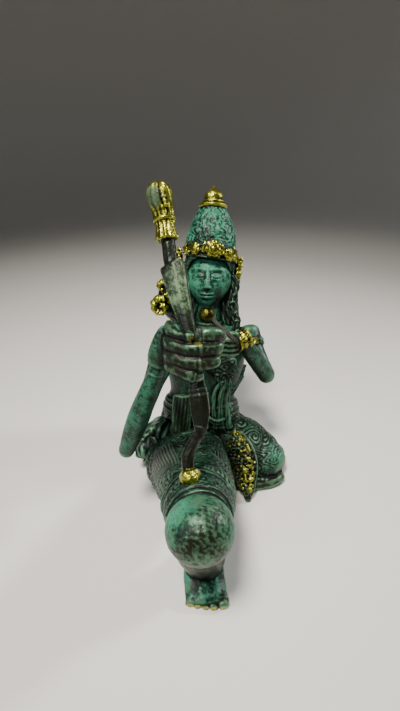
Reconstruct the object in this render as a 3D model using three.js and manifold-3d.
// A cast bronze figure of a seated archer drawing a bow, in millimetres, +Z up, facing -Y.
// Three cast pieces: the figure itself, the bow that passes through its fist, and the arrow.
import * as THREE from "three";
import { mergeVertices } from "three/addons/utils/BufferGeometryUtils.js";
import Module from "manifold-3d";

const wasm = await Module();
wasm.setup();

// Driving sizes
const FACE_HEIGHT = 49; // hairline to chin
const HEAD = { at: [6.6, 37.4, 165.7], tilt: 19.5, turn: -6, roll: 1 };
const HEAD_HALF_WIDTH = 19.4;
const HEAD_HALF_DEPTH = 20;
const CROWN_BASE = 25; // height above the head's centre, along the head's own axis
const CROWN_HEIGHT = 38;
const CROWN_RADIUS = 21.8;
const CROWN_TAPER = 12.4; // how much the crown narrows to its top
const SEAT = 0; // height of the flat underside
const HIP_HALF_WIDTH = 41;
const BELT_HEIGHT = 51.5;
const WAIST_HALF_WIDTH = 33;
const CHEST_HALF_WIDTH = 37;
const KNEE = [-1.5, -153.2, 80.1];
const KNEE_RADIUS = 21;
const FOOT_LENGTH = 45;
const FOOT_HALF_WIDTH = 15.5;
const TOE_TIP = -158; // how far forward the toes reach
const SHOULDER_R = [-29, 6.1, 118.2];
const ELBOW_R = [-57.8, -76.9, 70.1];
const WRIST_R = [-31, -77.1, 142];
const SHOULDER_L = [42, 26.2, 118.2];
const ELBOW_L = [58.5, -3.6, 91];
const WRIST_L = [33, -15.7, 133];
const HAND_L = [24.5, -20.1, 131.5];
const FINGER = 4.1; // finger radius of the bow hand
const ARROW_TIP = [2.6, -87.3, 187.4]; // centre of the ball point
const ARROW_TAIL = [32.6, -15, 127.3];
const ARROW_RADIUS = 1.7;
const BUD = [-7.9, -124.8, 93.9]; // centre of the bow's lower bud
const GAP = 0.35; // clearance round the bow and the arrow
const JOIN_TOLERANCE = 0.12; // slivers narrower than this are collapsed where pieces join
const THINNEST = 0.2; // least radius of a lofted body
const UP = new THREE.Vector3(0, 0, 1);

const vec = (p) => new THREE.Vector3(p[0], p[1], p[2]);
const mix = (a, b, t) => a + (b - a) * t;
const wave = (x) => Math.sin(2 * Math.PI * x);
const bump = (x, centre, spread) => Math.exp(-(((x - centre) / spread) ** 2));
const squared = (x, power) => Math.sign(x) * Math.abs(x) ** power;

// A three.js geometry as a manifold solid.
function solid(geometry) {
  const bare = geometry.clone();
  bare.deleteAttribute("normal");
  bare.deleteAttribute("uv");
  const merged = mergeVertices(bare, 1e-4);
  return new wasm.Manifold(new wasm.Mesh({
    numProp: 3,
    vertProperties: new Float32Array(merged.attributes.position.array),
    triVerts: new Uint32Array(merged.index.array),
    tolerance: JOIN_TOLERANCE,
  }));
}

// A manifold solid as a three.js geometry.
function geometryOf(body) {
  const mesh = body.getMesh();
  const flat = new Float32Array(mesh.numVert * 3);
  for (let i = 0; i < mesh.numVert; i += 1)
    flat.set(mesh.vertProperties.subarray(i * mesh.numProp, i * mesh.numProp + 3), i * 3);
  const geometry = new THREE.BufferGeometry();
  geometry.setAttribute("position", new THREE.BufferAttribute(flat, 3));
  geometry.setIndex(new THREE.BufferAttribute(new Uint32Array(mesh.triVerts), 1));
  const faceted = geometry.toNonIndexed();
  faceted.computeVertexNormals();
  return faceted;
}

const union = (bodies) => bodies.reduce((sum, body) => sum.add(body));

// A closed body lofted through stations [x, y, z, half width, half depth].
// Angle 0 points to the side, a quarter turn points to `face`; relief adds to the radius in mm.
function loftGeometry(stations, options = {}) {
  const { around = 16, rows = null, face = [0, -1, 0], relief = null, square = 1 } = options;
  const along = rows ? rows.length - 1 : options.along ?? 12;
  const path = new THREE.CatmullRomCurve3(stations.map(vec), false, "catmullrom", 0.5);
  const radiiPoints = stations.map((s, i) => new THREE.Vector3(s[3], s[4] ?? s[3], i * 10));
  const size = new THREE.CatmullRomCurve3(radiiPoints, false, "catmullrom", 0.5);
  const geometry = new THREE.CylinderGeometry(1, 1, 1, around, along);
  const position = geometry.attributes.position;
  const front = vec(face);
  for (let i = 0; i < position.count; i += 1) {
    const even = Math.min(1, Math.max(0, position.getY(i) + 0.5));
    const t = rows ? rows[Math.round(even * along)] : even;
    const centre = path.getPoint(t);
    const radii = size.getPoint(t);
    const axis = path.getTangent(t);
    const ahead = front.clone().addScaledVector(axis, -front.dot(axis)).normalize();
    const side = axis.clone().cross(ahead);
    const reach = Math.hypot(position.getX(i), position.getZ(i));
    const angle = Math.atan2(position.getZ(i), position.getX(i));
    const extra = relief && reach > 0.5 ? relief(t, angle, centre) : 0;
    const x = squared(Math.cos(angle), square) * (Math.max(THINNEST, radii.x) + extra);
    const y = squared(Math.sin(angle), square) * (Math.max(THINNEST, radii.y) + extra);
    centre.addScaledVector(side, x * reach).addScaledVector(ahead, y * reach);
    position.setXYZ(i, centre.x, centre.y, centre.z);
  }
  return geometry;
}
const loft = (stations, options) => solid(loftGeometry(stations, options));

// An ellipsoid with half sizes, tilted by degrees about X, Y and Z, then placed.
function ball(at, half, turn = [0, 0, 0], rows = 8) {
  const geometry = new THREE.SphereGeometry(1, Math.round(rows * 1.5), rows);
  geometry.scale(half[0], half[1], half[2]);
  const euler = new THREE.Euler(...turn.map(THREE.MathUtils.degToRad), "ZYX");
  geometry.applyMatrix4(new THREE.Matrix4().makeRotationFromEuler(euler));
  geometry.translate(at[0], at[1], at[2]);
  return solid(geometry);
}

// A turned body from [radius, height] pairs, about +Z.
function turned(profile, around = 20, relief = null) {
  const points = profile.map(([r, z]) => new THREE.Vector2(r, z));
  const geometry = new THREE.LatheGeometry(points, around);
  geometry.rotateX(Math.PI / 2);
  const position = geometry.attributes.position;
  if (relief) {
    for (let i = 0; i < position.count; i += 1) {
      const x = position.getX(i);
      const y = position.getY(i);
      const z = position.getZ(i);
      const radius = Math.hypot(x, y);
      if (radius < 1) continue;
      const grown = 1 + relief(z, Math.atan2(y, x)) / radius;
      position.setXYZ(i, x * grown, y * grown, z);
    }
  }
  return solid(geometry);
}

// A round cord through points.
function cord(points, radius, along = 10, around = 6) {
  return loft(points.map((p) => [...p, radius, radius]), { along, around, face: [0.05, -1, 0.1] });
}

// A pointed leaf, cut from a plate that faces -Y.
function leaf(width, height, thick) {
  const shape = new THREE.Shape();
  shape.moveTo(0, 0);
  shape.quadraticCurveTo(width * 0.75, height * 0.2, width * 0.45, height * 0.55);
  shape.quadraticCurveTo(width * 0.3, height * 0.8, 0, height);
  shape.quadraticCurveTo(-width * 0.3, height * 0.8, -width * 0.45, height * 0.55);
  shape.quadraticCurveTo(-width * 0.75, height * 0.2, 0, 0);
  const geometry = new THREE.ExtrudeGeometry(shape, { depth: thick, curveSegments: 2, bevelEnabled: false });
  geometry.rotateX(Math.PI / 2).translate(0, thick / 2, 0);
  return geometry;
}

// A flower of petals round a boss, facing -Y.
function flower(radius, petals, at, yaw = 0) {
  const points = [[0, -0.5], [0.38, -0.2], [1, -0.1], [0.6, 0.5], [0, 0.5]];
  const shape = points.map(([r, z]) => new THREE.Vector2(r * radius, -z * radius));
  const geometry = new THREE.LatheGeometry(shape.reverse(), petals * 2);
  const position = geometry.attributes.position;
  for (let i = 0; i < position.count; i += 1) {
    const x = position.getX(i);
    const z = position.getZ(i);
    const step = Math.round((Math.atan2(z, x) / Math.PI) * petals);
    const notch = Math.hypot(x, z) > 0.6 * radius && step % 2 !== 0 ? 0.72 : 1;
    position.setXYZ(i, x * notch, position.getY(i), z * notch);
  }
  geometry.rotateX(Math.PI);
  const place = new THREE.Matrix4().makeRotationZ(yaw).setPosition(...at);
  return solid(geometry.applyMatrix4(place));
}

// Moves a body by a three.js matrix.
function placed(body, matrix) {
  const geometry = geometryOf(body);
  geometry.applyMatrix4(matrix);
  return solid(geometry);
}

// The turn that takes +Z to a direction.
function turnedTo(direction) {
  const turn = new THREE.Quaternion().setFromUnitVectors(UP, direction.clone().normalize());
  return new THREE.Matrix4().makeRotationFromQuaternion(turn);
}

const headMatrix = (() => {
  const turn = new THREE.Matrix4().makeRotationZ(THREE.MathUtils.degToRad(HEAD.turn));
  const tilt = new THREE.Matrix4().makeRotationX(THREE.MathUtils.degToRad(-HEAD.tilt));
  const roll = new THREE.Matrix4().makeRotationY(THREE.MathUtils.degToRad(HEAD.roll));
  const place = new THREE.Matrix4().makeTranslation(...HEAD.at);
  return place.multiply(turn).multiply(tilt).multiply(roll);
})();

// The head in its own frame: origin at its centre, +Z to the crown, -Y to the face.
function makeHead() {
  const chin = -0.5 * FACE_HEIGHT;
  const parts = [];
  const skull = new THREE.SphereGeometry(1, 12, 10);
  const position = skull.attributes.position;
  for (let i = 0; i < position.count; i += 1) {
    // the pole axis of the sphere becomes the vertical axis of the head
    const x = position.getX(i);
    const up = position.getY(i);
    const ahead = position.getZ(i);
    const jaw = up < 0 ? 1 - 0.34 * up * up * (ahead > 0 ? 1 : 0.55) : 1;
    const cheek = 1 + 0.03 * bump(up, -0.1, 0.3);
    const depth = ahead > 0 ? HEAD_HALF_DEPTH * (1 - 0.06 * up * up) : HEAD_HALF_DEPTH;
    const mouth = up < -0.2 && ahead > 0 ? 1.5 * bump(up, -0.85, 0.3) : 0;
    const height = up > 0 ? up * 27 : up * -chin * 1.03;
    position.setXYZ(i, x * HEAD_HALF_WIDTH * jaw * cheek * 1.02, -ahead * depth - mouth, height);
  }
  parts.push(solid(skull));
  // nose, lips, chin, lids and brows
  parts.push(loft([[0, -18.6, 5, 1.3, 1.2], [0, -19.8, 0, 1.6, 2.2], [0, -20.8, -5, 3, 3.2],
    [0, -19.4, -7.6, 3.2, 1.6]], { around: 5, along: 3 }));
  for (const side of [-1, 1]) {
    parts.push(ball([side * 7.3, -16.9, 2.4], [4.1, 2.6, 2], [0, side * -4, side * 20], 4));
    parts.push(cord([[side * 2.6, -19.2, 6.2], [side * 7.4, -18.2, 8.4], [side * 12.8, -14, 6.6]],
      0.8, 4, 3));
    // ears drawn down into long lobes
    parts.push(loft([[side * 19.4, 2, 7, 1.6, 2.6], [side * 20, 1.5, 1, 2.4, 4], [side * 20, 1, -8, 2.2, 2.6],
      [side * 19.6, 0.6, -12, 1.6, 1.8]], { around: 5, along: 4 }));
  }
  parts.push(ball([0, -19, -11.2], [4.6, 2.3, 1.1], [-12, 0, 0], 4));
  parts.push(ball([0, -18.6, -13.6], [3.7, 2.3, 1.3], [12, 0, 0], 4));
  // the hair: a cap to the double hairline arc, and the mass at the nape
  const hairline = new THREE.CatmullRomCurve3([[-18.5, -4, 10], [-14, -14.5, 18], [0, -19, 21.5],
    [14, -14.5, 18], [18.5, -4, 10]].map(vec));
  parts.push(loft(hairline.getPoints(8).map((p) => [p.x, p.y, p.z, 1.7, 1.7]), { along: 7, around: 3,
    face: [0, 0.3, 1] }));
  parts.push(ball([0, 5, 6], [20, 18.5, 22], [0, 0, 0], 6));
  parts.push(loft([[0, 14, 4, 19, 11], [0, 14, -16, 19, 10], [0, 13, -36, 18, 7], [0, 9, -50, 13, 4]],
    { around: 12, along: 2, relief: (t, a) => 0.8 * Math.cos(a * 6) }));
  return placed(union(parts), headMatrix);
}

// The tall bullet crown of wavy hair locks, with its tiara, ear crests and finial.
function makeCrown() {
  const top = CROWN_BASE + CROWN_HEIGHT;
  const parts = [];
  const profile = [];
  const rowCount = 6;
  for (let i = 0; i <= rowCount; i += 1) {
    const t = i / rowCount;
    profile.push([CROWN_RADIUS - CROWN_TAPER * t ** 2.1, mix(CROWN_BASE + 4, top, t)]);
  }
  const locks = (z, a) => {
    const t = (z - CROWN_BASE - 4) / CROWN_HEIGHT;
    if (t < 0.1 || t > 0.85) return 0;
    return 0.9 * wave((a / (2 * Math.PI)) * 5 + 0.3 * wave(t * 1.6));
  };
  // the tiara is a band with a rolled upper edge, under the crown of locks
  parts.push(turned([[0, CROWN_BASE - 7], [21.4, CROWN_BASE - 7], [21.2, CROWN_BASE - 4],
    [22.8, CROWN_BASE + 1.5], [24, CROWN_BASE + 3], ...profile, [0, top]], 18, locks));
  parts.push(turned([[0, top - 1], [10.5, top - 1], [12.2, top + 1.4], [6.4, top + 4],
    [7.9, top + 8], [3.4, top + 14], [0, top + 17]], 8));
  // flowers and leaves on the band
  const band = 22.6;
  for (const [degrees, radius, lift] of [[0, 5.4, 3], [-38, 4.2, 0.5], [38, 4.2, 0.5]]) {
    const a = THREE.MathUtils.degToRad(degrees);
    parts.push(flower(radius, 5, [Math.sin(a) * band, -Math.cos(a) * band, CROWN_BASE - 1 + lift], a));
  }
  parts.push(solid(leaf(5.5, 8, 1.6).translate(0, -band + 0.6, CROWN_BASE + 4)));
  for (const degrees of [-19, 19]) {
    const a = THREE.MathUtils.degToRad(degrees);
    parts.push(solid(leaf(4.4, 7, 1.5).translate(0, -band + 0.2, CROWN_BASE - 5).rotateZ(a)));
  }
  // ear crests: upright curling leaves behind each ear
  for (const side of [-1, 1]) {
    parts.push(loft([[side * 21, 5, -2, 2.4, 3], [side * 24.5, 4, 6, 2.8, 4.4],
      [side * 25.5, 4, 15, 2.6, 3.8], [side * 27, 4, 23, 2, 2.6], [side * 26, 4, 27, 1, 1.2]],
      { around: 5, along: 5, relief: (t) => 0.6 * wave(t * 2.5) }));
  }
  return placed(union(parts), headMatrix);
}

// Side locks that fall from behind the ears to the shoulders.
function makeSideLocks() {
  const parts = [];
  for (const side of [-1, 1]) {
    const points = [];
    for (let i = 0; i <= 6; i += 1) {
      const t = i / 6;
      points.push([HEAD.at[0] + side * (20.5 + 3.4 * t) + 1.6 * wave(t * 1.5), mix(37, 17, t),
        mix(170, 125, t), 4.4 - 1.4 * t, 3.6 - 1.1 * t]);
    }
    parts.push(loft(points, { around: 5, along: 10, relief: (t) => 0.6 * wave(t * 5) }));
  }
  return union(parts);
}

// Rows of the torso, close together at the belt, which is a flat band between two bead rows.
const BELT_AT = 4 / 12;
const BELT_ROWS = [[-0.07, 0], [-0.05, 2.5], [-0.03, 0.8], [0.012, 0.9], [0.03, 2.3], [0.05, 0]];
const beltRows = [0, 0.08, 0.17, ...BELT_ROWS.map(([t]) => BELT_AT + t), 0.47, 0.56, 0.66, 0.76, 0.87, 1];
function beltRelief(t, angle) {
  const row = BELT_ROWS.find(([at]) => Math.abs(BELT_AT + at - t) < 1e-4);
  if (row) return row[1] * (row[1] > 1.5 ? 0.85 + 0.35 * Math.cos(angle * 9) : 1);
  return t < 0.25 ? 0.8 * Math.cos(angle * 9) : 0;
}

// Pelvis, waist, chest, neck and both shoulders, with the belt, the necklace and the chest bands.
function makeTorso() {
  const parts = [];
  parts.push(loft([[0, 4.4, -3.8, 36, 30], [0, 6.3, 7.6, HIP_HALF_WIDTH, 33],
    [-0.5, 8, 26.7, HIP_HALF_WIDTH, 30], [-0.5, 8.1, 41.9, 37.5, 25], [0, 8.9, BELT_HEIGHT, 35.2, 22.5],
    [0.8, 11.7, 62.9, WAIST_HALF_WIDTH - 2, 19.5], [2.5, 15.5, 80.1, CHEST_HALF_WIDTH - 2, 20.5],
    [4, 19.3, 97.2, CHEST_HALF_WIDTH, 21.5], [5, 22.4, 110.6, CHEST_HALF_WIDTH - 1, 18.5],
    [5.8, 24.9, 120.1, 26, 15], [6.6, 27.1, 127.7, 13.5, 12], [7.2, 29.9, 139.2, 11, 10.5],
    [7.8, 33.5, 150.6, 11, 10.5]],
    { around: 18, face: [0, -1, 0], rows: beltRows, relief: beltRelief }));
  for (const side of [-1, 1]) {
    parts.push(ball([4.4 + side * 15, 9, 98], [14, 10, 11], [0, 0, 0], 5));
    parts.push(ball([6 + side * 19, 25.7, 120], [20, 11, 8], [0, side * 16, 0], 5));
  }
  // buckle
  parts.push(ball([-1, -12.5, BELT_HEIGHT - 1], [7, 3.4, 6], [0, 0, 0], 4));
  // chest band from the right shoulder to the left hip, and its fellow that makes the V
  parts.push(cord([[-27, 14.8, 124.9], [-12, 2.6, 112.5], [6, -4.5, 98.2], [20, -3.8, 80.1], [31, 4.5, 64.8],
    [33, 11.9, 59.1]], 1.9, 7, 3));
  parts.push(cord([[38, 12.9, 99.1], [30, 1.9, 83.9], [22, -3.5, 72.4], [15, -6, 64.8]], 1.6, 4, 3));
  // necklace plate with its flower
  parts.push(cord([[-20, 14.5, 123], [-8, 5.3, 115.8], [6, 1.6, 111.5], [20, 6.1, 115.8], [31, 15.3, 123]],
    2.6, 6, 3));
  parts.push(flower(5.4, 5, [6, -1.5, 108.7], 0));
  return union(parts);
}

// One arm: a limb from shoulder to elbow and elbow to wrist, with an armband and wrist rings.
function makeArm(shoulder, elbow, wrist, size) {
  const parts = [];
  const middle = (a, b, t) => a.map((v, i) => mix(v, b[i], t));
  const upperArm = [[-0.13, size.shoulder * 0.55], [-0.02, size.shoulder], [0.14, size.shoulder * 0.96],
    [0.4, size.upper], [0.75, size.upper * 0.88], [1, size.elbow]];
  parts.push(loft(upperArm.map(([t, r]) => [...middle(shoulder, elbow, t), r]),
    { around: 9, along: 6, face: size.face }));
  parts.push(ball(elbow, [size.elbow, size.elbow, size.elbow], [0, 0, 0], 4));
  const forearm = [[0, size.elbow * 0.98], [0.3, size.fore], [0.6, size.fore * 0.96], [1.08, size.wrist]];
  parts.push(loft(forearm.map(([t, r]) => [...middle(elbow, wrist, t), r]),
    { around: 9, along: 5, face: size.face }));
  const ringAt = (a, b, t, radius, thick) => {
    const place = turnedTo(vec(b).sub(vec(a))).setPosition(vec(middle(a, b, t)));
    return solid(new THREE.TorusGeometry(radius, thick, 3, 9).applyMatrix4(place));
  };
  for (const t of size.rings) parts.push(ringAt(elbow, wrist, t, size.wrist + 0.2, 1.25));
  for (const t of size.bands) parts.push(ringAt(shoulder, elbow, t, size.upper + 0.9, 1.5));
  return union(parts);
}

// The bow axis, sampled from tip to tail: [x, y, z, half width, half depth].
const BOW_LIMB = [
  [-23.2, -41.8, 225, 4.6, 4.4], [-20.8, -49.7, 215.4, 5.0, 5.2], [-20.2, -52.8, 209.7, 6.2, 6],
  [-17.6, -58, 204, 8.4, 6.6], [-14.8, -66.9, 193.5, 7.2, 6.4], [-11.2, -75.1, 182.5, 5.8, 5.6],
  [-7.9, -82.3, 172.5, 4.6, 4.8], [-5.9, -89.5, 160.1, 4.4, 4.6], [-4.6, -95.9, 147.3, 4.6, 4.8],
  [-3.2, -101, 137.3, 5.6, 5.4], [-1.6, -105.5, 127.7, 5.6, 5.2], [-1.2, -109.4, 120.1, 4.2, 4.4],
  [-3, -111.6, 114.4, 3.4, 3.6],
];
const bowLimb = (grow) => loft(BOW_LIMB.map(([x, y, z, a, b]) => [x, y, z, a + grow, b + grow]),
  { around: 8, along: 14, face: [0, -1, 0], square: 0.8 });

// The bow hand: four fingers wrapped over the front of the grip, thumb and heel of the hand behind.
function makeBowHand() {
  const parts = [];
  const rows = [
    { z: 170.2, y: -84.6, tip: -4, lift: 3.2 }, { z: 163.5, y: -88.3, tip: 8.6, lift: 0.6 },
    { z: 156.6, y: -92, tip: 7.6, lift: -0.4 }, { z: 150, y: -95.3, tip: -4.2, lift: -2.6 },
  ];
  rows.forEach((row, i) => {
    const r = FINGER - 0.12 * i;
    parts.push(loft([[-24.5, row.y + 13, row.z - 1, r * 0.9], [-22.5, row.y + 4, row.z, r * 1.08],
      [-17.5, row.y - 4, row.z + 0.3, r], [-9, row.y - 8.2, row.z + row.lift * 0.3, r * 0.98],
      [mix(-9, row.tip, 0.55), row.y - 8.4, row.z + row.lift * 0.7, r * 0.94],
      [row.tip - 1, row.y - 5.8, row.z + row.lift, r * 0.84],
      [row.tip + 0.4, row.y - 4, row.z + row.lift, r * 0.4]],
      { around: 6, along: 6, face: [0.1, 0.1, 1] }));
  });
  // the back and heel of the hand, closing round the grip from behind
  parts.push(loft([[-30, -77.3, 143, 7, 6], [-27, -76.8, 150.6, 10, 7.5], [-23, -76.9, 160.1, 11, 8],
    [-20, -76.2, 168.7, 8, 6.5], [-19, -75.8, 173.5, 4, 3.5]], { around: 8, along: 4, face: [0.6, -1, 0] }));
  parts.push(loft([[-22, -78.6, 152.5, 6], [-12, -77.9, 154.4, 8], [-2, -79.6, 156.3, 7],
    [3, -82.5, 159.2, 5]], { around: 7, along: 4, face: [0, 0, 1] }));
  // the thumb, laid up the inner side of the bow to carry the arrow
  parts.push(loft([[-6, -79, 155.4, 5.2], [2, -79.5, 162.1, 4.6], [5.8, -82.1, 168.7, 4.2],
    [5, -86.7, 174, 3.8], [3.6, -89.5, 176.2, 2.6]], { around: 6, along: 5, face: [0.2, -1, 0.2] }));
  return union(parts);
}

// The drawing hand: a small fist that pinches the nock, with a broad gilt bracelet behind it.
function makeDrawHand() {
  const parts = [];
  const [x, y, z] = HAND_L;
  parts.push(loft([[x + 10, y + 6, z + 1, 5.6], [x + 4, y + 2.5, z + 0.6, 6.4], [x - 2, y, z, 5]],
    { around: 7, along: 2, face: [0, 0, 1] }));
  // four fingers rolled round the nock
  parts.push(loft([[x - 3.6, y - 2, z - 10, 3.4, 3], [x - 3.4, y - 2.4, z - 6, 6, 5],
    [x - 3, y - 2.6, z, 6.4, 5.4], [x - 2.6, y - 2.4, z + 6, 5.8, 4.8], [x - 2.4, y - 2, z + 8.4, 3.4, 3]],
    { around: 6, along: 12, relief: (t) => -0.7 * Math.cos(t * 8 * Math.PI) }));
  // bracelet
  const cuff = turned([[0, -5], [8.4, -4.4], [7.2, -2], [8.2, 0], [7.2, 2], [8.6, 4.4], [0, 5]], 10);
  const away = vec(WRIST_L).sub(vec(HAND_L));
  parts.push(placed(cuff, turnedTo(away).setPosition(vec(WRIST_L))));
  return union(parts);
}

// Folds of the wrapped cloth over the thighs, as a relief in millimetres.
function clothRelief(t, angle) {
  const swirl = wave(t * 4.4 + 0.35 * wave((angle / Math.PI) * 1.5 + t));
  const hem = 1.6 * bump(t, 0.94, 0.03);
  return t < 0.95 ? 0.62 * swirl + hem : 0;
}

// The raised right leg: wrapped thigh, bare knee and shin, foot with toes flat on the ground.
function makeRightLeg() {
  const parts = [];
  const [kx, ky, kz] = KNEE;
  parts.push(loft([[-12, 10.4, 11.4, 27, 18], [-13, -12.1, 17.2, 31, 20], [-12, -37.9, 23.8, 33, 21.5],
    [-9, -65.1, 36.2, 32, 23], [-6, -92.1, 50, 29, 23.5], [-3.5, -115.1, 62.4, 25.8, 22.5],
    [kx - 0.6, ky + 18.5, kz - 7.5, 22.6, 21.5], [kx, ky + 9, kz - 3.5, 20.5, 20.5]],
    { around: 12, along: 15, face: [0, 0, 1], relief: clothRelief }));
  parts.push(ball(KNEE, [KNEE_RADIUS, KNEE_RADIUS - 1, KNEE_RADIUS], [0, 0, 0], 9));
  // the lower leg slants back under the knee to the ankle
  parts.push(loft([[kx, ky + 4, kz - 3, 18.5, 17], [kx, ky + 8.5, kz - 19, 17, 15],
    [kx + 0.6, ky + 14, kz - 40, 14.5, 13.5], [1, ky + 20, kz - 59, 12.4, 12], [1.4, ky + 24, 11, 12.6, 12.4],
    [1.6, ky + 25, -3, 12, 13]],
    { around: 9, along: 4, face: [0, -1, 0] }));
  const anklet = new THREE.TorusGeometry(13.4, 2, 3, 10).scale(1, 0.98, 1);
  parts.push(solid(anklet.rotateX(-0.3).translate(1, ky + 21.5, 23)));
  // foot and toes
  const heel = TOE_TIP + FOOT_LENGTH;
  parts.push(loft([[1.6, heel, 6, 7, 7], [1.6, heel - 5, 7, 11, 10], [1.6, heel - 15, 8, 12, 11],
    [2.4, heel - 25.5, 5, 13.4, 8.5], [3.2, TOE_TIP + 9, 3, FOOT_HALF_WIDTH - 0.8, 6],
    [3.6, TOE_TIP + 5.5, 2, FOOT_HALF_WIDTH - 1.2, 4]],
    { around: 9, along: 4, face: [0, 0, 1] }));
  const toes = [[14.6, 4.6, 0], [8, 3.6, -0.4], [2.2, 3.4, 0], [-3.4, 3.2, 1.2], [-8.2, 3, 2.8]];
  for (const [x, r, back] of toes) {
    parts.push(loft([[x, TOE_TIP + 12, 3.4, r], [x, TOE_TIP + 4.5 + back * 0.6, 3.4, r * 1.05],
      [x, TOE_TIP + back, 2, r * 0.6]], { around: 5, along: 2, face: [0, 0, 1] }));
  }
  return union(parts);
}

// The left leg, folded flat: wrapped thigh out to the knee, shin drawn back in across the front.
function makeLeftLeg() {
  const parts = [];
  parts.push(loft([[10, 12.4, 13.3, 24, 20], [24, 2.6, 15.3, 27, 21], [40, -11.4, 16.7, 26, 20.5],
    [54, -25.1, 15.3, 23, 18.5], [66, -34.6, 13.3, 17.5, 15], [75, -40.8, 11.4, 9, 9]],
    { around: 12, along: 10, face: [0, 0, 1],
      relief: (t, a) => (t < 0.92 ? 0.75 * wave(t * 3.4 + 0.25 * wave(a / Math.PI)) : 0) }));
  parts.push(loft([[74, -41, 5.7, 6, 7], [64, -46.2, 4.8, 9, 8], [48, -48.7, 4.8, 9.5, 8.5],
    [30, -48.7, 4.8, 9, 8.5], [12, -47, 4.8, 9, 8], [-6, -43, 3.8, 8, 7]],
    { around: 8, along: 7, face: [0, 0, 1], relief: (t) => 0.5 * wave(t * 2.2) }));
  // the hem of the cloth over the shin
  parts.push(cord([[72, -48.2, 2.9], [62, -52.2, 8.6], [50, -53.5, 11], [38, -53.6, 10.5]], 1.9, 4, 3));
  return union(parts);
}

// The beaded sash end between the thighs, the gathered sash on the right hip and the cloth by the knee.
function makeSashes() {
  const parts = [];
  parts.push(loft([[31, -23.3, 40, 3, 4], [33.5, -32.5, 35.3, 8.5, 6], [35, -41.5, 27.2, 12, 7],
    [37, -49.6, 19.1, 11, 7], [39, -57.5, 11.9, 7.5, 6], [40.5, -63.8, 4.8, 4.4, 5], [41, -67.3, -1, 3, 4]],
    { around: 8, along: 10, face: [0, -1, 0.6],
      relief: (t, a) => 0.8 * Math.cos(t * 10 * Math.PI) * Math.cos(a * 4) }));
  // gathered sash: a fan of folds tucked under the belt at the right hip
  const foldCount = 4;
  for (let i = 0; i < foldCount; i += 1) {
    const f = i / (foldCount - 1);
    parts.push(loft([[-36, -3 - 6 * f, 42 - 15 * f, 4.6, 5], [-45, -10 - 6.5 * f, 39 - 18 * f, 4.6, 5],
      [-53 - f, -19 - 7 * f, 36 - 23 * f, 4.4, 4.4], [-57 + 2 * f, -26.5 - 7.5 * f, 31.5 - 24 * f, 2.6, 3]],
      { around: 6, along: 3, face: [0, 0, 1] }));
  }
  parts.push(ball([-42, -7.5, 34], [9, 9, 10], [0, 0, 0], 5));
  // cloth that falls from the thigh to the ground on the right side, and along the knee
  parts.push(loft([[-38, -31.3, 13.3, 5, 16], [-39.5, -55.5, 19.1, 4.5, 16], [-36, -78.8, 29.6, 4, 15],
    [-29, -105.7, 43.8, 3.6, 14], [-23, -128.8, 56.2, 3, 13], [-20, -144.8, 65.8, 2.6, 11]],
    { around: 5, along: 10, face: [0, 0, 1], relief: (t) => 0.8 * wave(t * 3.3) }));
  // a loose end under the seat behind, plainer
  parts.push(loft([[0, 32.7, 43.8, 9, 3], [0, 35.1, 28.6, 11, 3.4], [0, 36.4, 11.4, 13, 3.4],
    [0, 34.8, -2.9, 13, 3]],
    { around: 8, along: 3, relief: (t, a) => 0.6 * Math.cos(a * 4) }));
  return union(parts);
}

// The quiver slung across the back, its gilt scrolled mouth standing behind the right shoulder.
function makeQuiver() {
  const parts = [];
  parts.push(loft([[24, 36, 62.9, 5, 5], [20, 38.2, 70.5, 9, 9], [2, 41.9, 97.2, 10.5, 10],
    [-16, 43.2, 123.9, 11, 10], [-27, 41.8, 140.1, 11.5, 10.5], [-30, 40.2, 145.8, 10, 9]],
    { around: 8, along: 5 }));
  const scroll = (centre, radius, thick, turns, start) => {
    const points = [];
    for (let i = 0; i <= 8; i += 1) {
      const s = i / 8;
      const a = start + s * turns * 2 * Math.PI;
      const r = radius * (1 - 0.78 * s);
      points.push([centre[0] + Math.cos(a) * r, centre[1] - 2.5 * s, centre[2] + Math.sin(a) * r,
        thick * (1 - 0.45 * s)]);
    }
    return loft(points, { around: 4, along: 9, face: [0, -1, 0] });
  };
  parts.push(scroll([-36.5, 28.9, 143.5], 8.6, 3.8, 1.1, 1.2));
  parts.push(scroll([-35, 34.5, 161.1], 7, 3.6, 1, -1.6));
  parts.push(ball([-31, 37.2, 147.8], [9.5, 8, 15], [0, 0, 0], 5));
  return union(parts);
}

// The arrow: a ball point, a plain shaft and a plain tail behind the drawing hand.
function arrowMatrix() {
  return turnedTo(vec(ARROW_TIP).sub(vec(ARROW_TAIL))).setPosition(vec(ARROW_TAIL));
}
const arrowLength = vec(ARROW_TIP).distanceTo(vec(ARROW_TAIL));
const arrowShaft = (grow) => placed(turned([[0, -6 - grow], [ARROW_RADIUS + grow, -6 - grow],
  [ARROW_RADIUS + grow, arrowLength - 3], [0, arrowLength - 3]], 12), arrowMatrix());
function makeArrow() {
  const point = turned([[0, arrowLength - 5.5], [2.6, arrowLength - 5], [4.4, arrowLength - 2.6],
    [5.1, arrowLength], [4.5, arrowLength + 2.6], [2.7, arrowLength + 4.6], [0, arrowLength + 5.4]], 14);
  return arrowShaft(0).add(placed(point, arrowMatrix()));
}

// Leans a turned body along the bow, then places it.
function alongBow(at) {
  const lean = new THREE.Matrix4().makeRotationX(THREE.MathUtils.degToRad(-29));
  const cant = new THREE.Matrix4().makeRotationY(THREE.MathUtils.degToRad(-9));
  return new THREE.Matrix4().makeTranslation(...at).multiply(lean).multiply(cant);
}

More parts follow.
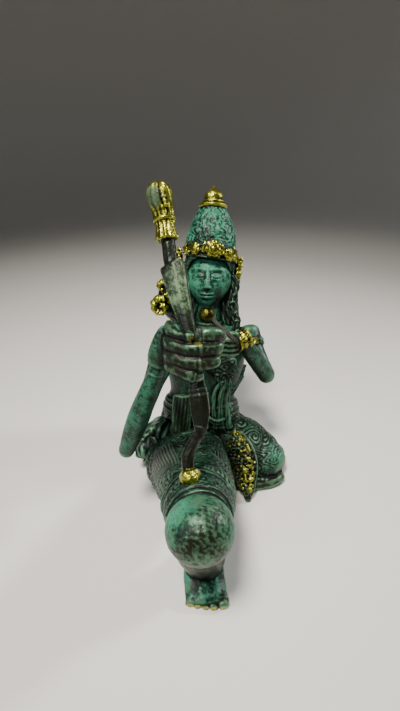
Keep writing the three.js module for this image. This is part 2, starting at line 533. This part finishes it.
// The bow's lower end: a thin stem that runs down to a bud on the thigh.
function bowTail(grow) {
  const stem = [[-3, -111.3, 115.3, 3.4, 3.6], [-6.5, -114.1, 109.6, 3.6, 3.6], [-9.2, -117.3, 103.4, 4.2, 4],
    [-8.8, -121.9, 96.3, 4, 3.8]];
  const bud = [[0, -8 - grow], [4 + grow, -6 - grow], [6.2 + grow, -0.6], [4.6 + grow, 4.6], [0, 5.4 + grow]];
  const petals = (z, a) => 0.35 * Math.cos(a * 6);
  return loft(stem.map(([x, y, z, a, b]) => [x, y, z, a + grow, b + grow]), { around: 8, along: 4 })
    .add(placed(turned(bud, 12, petals), alongBow(BUD)));
}

// The bow: gilt bird-head finial, fluted collar, limb through the fist, stem and gilt bud.
function makeBow() {
  const parts = [bowLimb(0), bowTail(0)];
  const flutes = (z, a) => 0.6 * Math.cos(a * 9);
  const collar = turned([[0, -1], [7.4, -0.6], [6.6, 5], [5.4, 11.5], [0, 11.5]], 18, flutes);
  parts.push(placed(collar, alongBow([-22.6, -44.9, 221.6])));
  // head: a crest between two cheek lobes, curling forward at the top
  const head = alongBow([-24.6, -38.1, 233.5]);
  const lump = (at, half, rows = 4) => placed(ball(at, half, [0, 0, 0], rows), head);
  parts.push(placed(loft([[0, 0, -4, 5.2, 5], [0, -0.5, 4, 5.6, 6], [0, -1.6, 11, 6.2, 7.4],
    [0, -2.6, 17, 5.8, 7.4], [0, -3.4, 22, 3.4, 5]], { around: 9, along: 5 }), head));
  for (const side of [-1, 1]) {
    parts.push(lump([side * 4.2, -1.6, 14], [3.9, 6.8, 8]));
    parts.push(lump([side * 3, -3.4, 4], [3, 4.6, 6.4]));
  }
  const crestBeads = 5;
  for (let i = 0; i < crestBeads; i += 1) {
    const a = -0.2 + i * 0.44;
    parts.push(lump([0, -1.6 - 8.2 * Math.cos(a), 11.5 + 9.6 * Math.sin(a)], [1.9, 1.9, 1.9], 3));
  }
  parts.push(lump([0, -9.5, 8], [1.6, 3.4, 2]));
  return union(parts);
}

// The figure: everything but the bow and the arrow, cut flat underneath and cleared round both.
function makeFigure() {
  const rightArm = makeArm(SHOULDER_R, ELBOW_R, WRIST_R, { shoulder: 13, upper: 8.8, elbow: 6.4,
    fore: 7.9, wrist: 4.4, face: [1, 0, 0], rings: [0.98], bands: [0.18] });
  const leftArm = makeArm(SHOULDER_L, ELBOW_L, WRIST_L, { shoulder: 12, upper: 9, elbow: 8, fore: 7.6,
    wrist: 5.8, face: [0, 0.3, 1], rings: [], bands: [0.3] });
  const whole = union([makeTorso(), makeHead(), makeCrown(), makeSideLocks(), rightArm, leftArm,
    makeBowHand(), makeDrawHand(), makeRightLeg(), makeLeftLeg(), makeSashes(), makeQuiver()]);
  const ground = solid(new THREE.BoxGeometry(400, 500, 60).translate(0, -60, SEAT - 30));
  return whole.subtract(ground).subtract(bowLimb(GAP)).subtract(bowTail(GAP)).subtract(arrowShaft(GAP));
}

// One named node with its own material.
function named(name, body, colour, roughness, metalness) {
  const material = new THREE.MeshStandardMaterial({ color: colour, roughness, metalness });
  const mesh = new THREE.Mesh(geometryOf(body), material);
  mesh.name = name;
  return mesh;
}

const group = new THREE.Group();
group.add(named("figure", makeFigure(), 0x3f7f72, 0.6, 0.55));
group.add(named("bow", makeBow(), 0x66735e, 0.5, 0.7));
group.add(named("arrow", makeArrow(), 0x54442a, 0.45, 0.8));
export default group;
